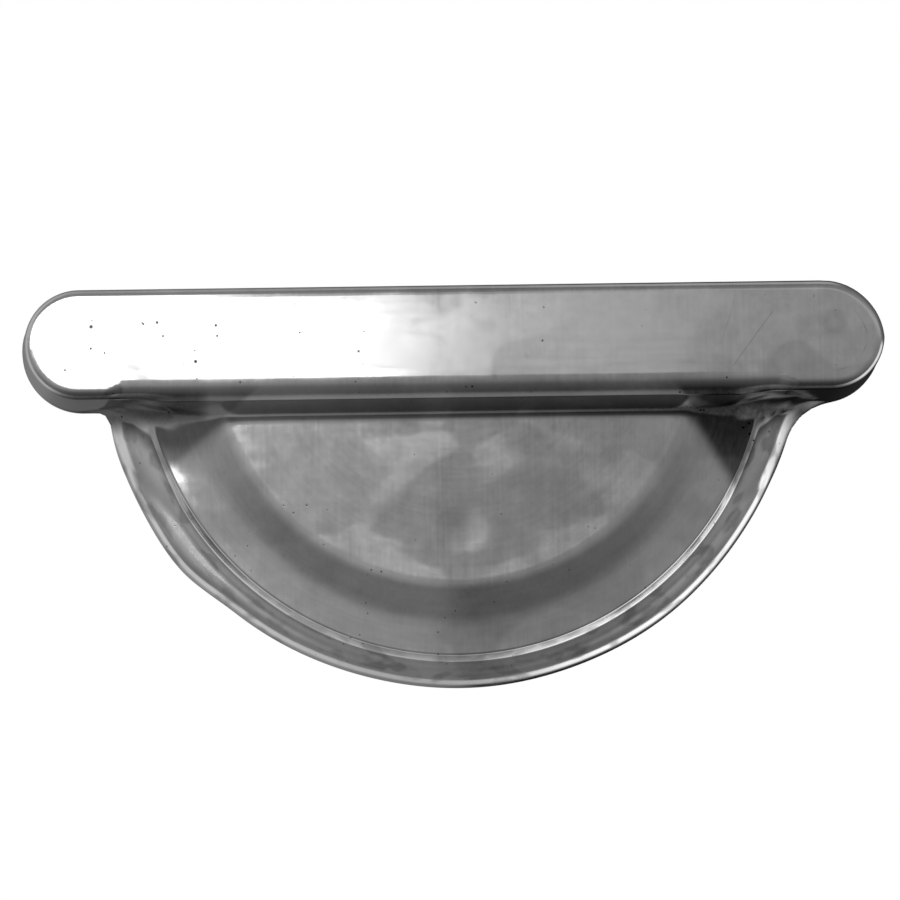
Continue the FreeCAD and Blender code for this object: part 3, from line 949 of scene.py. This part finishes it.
tent_points, tent_quads = tent_sphere(rings=33, sectors=64, radius=TENT_RADIUS)
tent_mesh = bpy.data.meshes.new("grey_tent")
tent_mesh.from_pydata(tent_points, [], tent_quads)
tent = bpy.data.objects.new("grey_tent", tent_mesh)
bpy.context.scene.collection.objects.link(tent)
tent.visible_camera = False
tent.visible_diffuse = False
tent.visible_shadow = False
tent.visible_transmission = False
tent.visible_volume_scatter = False
print("tent:", len(tent_quads), "faces, seen by reflections only")

# %% [markdown]
# The cloth's glow is built from grey ramps, each over one direction: X to the right, Y away from the
# camera and Z up.

# %% Ramps for the tent's cloth
cloth = bpy.data.materials.new("grey_tent_cloth")
cloth.use_nodes = True
cloth_nodes = cloth.node_tree.nodes
cloth_links = cloth.node_tree.links
cloth_nodes.remove(cloth_nodes["Principled BSDF"])
glow = cloth_nodes.new("ShaderNodeEmission")
cloth_links.new(glow.outputs["Emission"], cloth_nodes["Material Output"].inputs["Surface"])
where = cloth_nodes.new("ShaderNodeTexCoord")
unit = cloth_nodes.new("ShaderNodeVectorMath")
unit.operation = "NORMALIZE"
cloth_links.new(where.outputs["Object"], unit.inputs[0])
axes = cloth_nodes.new("ShaderNodeSeparateXYZ")
cloth_links.new(unit.outputs["Vector"], axes.inputs[0])


def tent_ramp(source, stops):
    """A ramp of grey over -1 to 1 of one direction: stops are (place, grey)."""
    spread = cloth_nodes.new("ShaderNodeMapRange")
    spread.inputs["From Min"].default_value = -1
    spread.inputs["From Max"].default_value = 1
    cloth_links.new(source, spread.inputs["Value"])
    ramp = cloth_nodes.new("ShaderNodeValToRGB")
    ramp.color_ramp.interpolation = "EASE"
    while len(ramp.color_ramp.elements) < len(stops):
        ramp.color_ramp.elements.new(0.5)
    for element, (place, grey) in zip(ramp.color_ramp.elements, stops):
        element.position = (place + 1) / 2
        element.color = (grey, grey, grey, 1)
    cloth_links.new(spread.outputs["Result"], ramp.inputs["Fac"])
    return ramp.outputs["Color"]


def tent_mix(kind, a, b, factor=None):
    """A colour mix node of the tent; factor is a socket, or 1 when it is left out."""
    mix = cloth_nodes.new("ShaderNodeMix")
    mix.data_type = "RGBA"
    mix.blend_type = kind
    mix.inputs["Factor"].default_value = 1.0
    if factor is not None:
        cloth_links.new(factor, mix.inputs["Factor"])
    cloth_links.new(a, mix.inputs["A"])
    cloth_links.new(b, mix.inputs["B"])
    return mix.outputs["Result"]


# %% [markdown]
# In front, the room is darker below than above and a little brighter at the left: that is what the flat
# parts and the slopes show. To the sides runs a pale ring, which draws the bright line along the lip;
# at the upper right it is missing, so the bar's right end has a dark rim. Straight behind it is dark,
# and the bar's lower wall shows that. The real room isn't known, so these greys were set until the
# picture's tones came near the photograph's.

# %% Brightness of the tent
upward = tent_ramp(axes.outputs["Z"], [(-0.7, 0.13), (-0.1, 0.26), (0.06, 0.31), (0.3, 0.46), (0.6, 0.25),
                                       (1.0, 0.2)])
sideways = tent_ramp(axes.outputs["X"], [(-0.9, 1.3), (-0.012, 1.5), (0.03, 1.02), (0.07, 0.82),
                                         (0.12, 1.05), (0.7, 1.1)])
room = tent_mix("MULTIPLY", upward, sideways)
ring_light = tent_ramp(axes.outputs["X"], [(-0.8, 0.62), (0.0, 0.45), (0.8, 1.0)])
shade = tent_ramp(axes.outputs["Y"], [(0.22, 0.0), (0.7, 1.0)])
behind_dark = tent_ramp(axes.outputs["X"], [(-0.5, 0.3), (-0.01, 0.19), (0.035, 0.11), (0.087, 0.015),
                                            (0.6, 0.06)])
right_light = tent_ramp(axes.outputs["Z"], [(-0.14, 1.2), (0.0, 0.18)])
right_side = tent_ramp(axes.outputs["X"], [(0.1, 0.0), (0.5, 1.0)])
ring_light = tent_mix("MIX", ring_light, right_light, right_side)
surround = tent_mix("MIX", ring_light, behind_dark, shade)
beyond = tent_ramp(axes.outputs["Y"], [(-0.3, 0.0), (-0.1, 1.0)])
cloth_links.new(tent_mix("MIX", room, surround, beyond), glow.inputs["Color"])
tent_mesh.materials.append(cloth)
print("tent cloth:", len(cloth_nodes), "nodes")

# %% [markdown]
# ### Softboxes
#
# The white left half of the bar is the reflection of one large lamp, and its ragged right end shows
# where the lamp's edge lies. It comes out as plain white, a little brighter than in the photograph. A
# lower box carries the white further along the bar's lower half, and two weaker ones let it fade.

# %% Softboxes
LAMP_Y = -0.9
MAIN_RIGHT = -0.068
LOW_RIGHT = 0.008
LOW_BOTTOM = 0.064
LOW_TOP = 0.094


def softbox(name, across, up, power):
    """A rectangular lamp 0.9 m in front: left and right edge, lower and upper edge, and watts."""
    data = bpy.data.lights.new(name, "AREA")
    data.shape = "RECTANGLE"
    data.size = across[1] - across[0]
    data.size_y = up[1] - up[0]
    data.energy = power
    lamp = bpy.data.objects.new(name, data)
    bpy.context.scene.collection.objects.link(lamp)
    lamp.location = (sum(across) / 2, LAMP_Y, sum(up) / 2)
    lamp.rotation_euler = (np.pi / 2, 0, 0)
    radiance = power / (np.pi * data.size * data.size_y)
    print(name, f"{data.size:.3f} x {data.size_y:.3f} m, radiance {radiance:.2f}")


softbox("main_softbox", (-1.0, MAIN_RIGHT), (0.06, 0.7), 4.6)
softbox("low_softbox", (MAIN_RIGHT, LOW_RIGHT), (LOW_BOTTOM, LOW_TOP), 0.038)
softbox("upper_softbox", (MAIN_RIGHT, LOW_RIGHT), (LOW_TOP, 0.14), 0.0105)
softbox("faint_softbox", (LOW_RIGHT, 0.13), (LOW_BOTTOM, 0.12), 0.0084)

bpy.context.scene.view_settings.view_transform = "Standard"
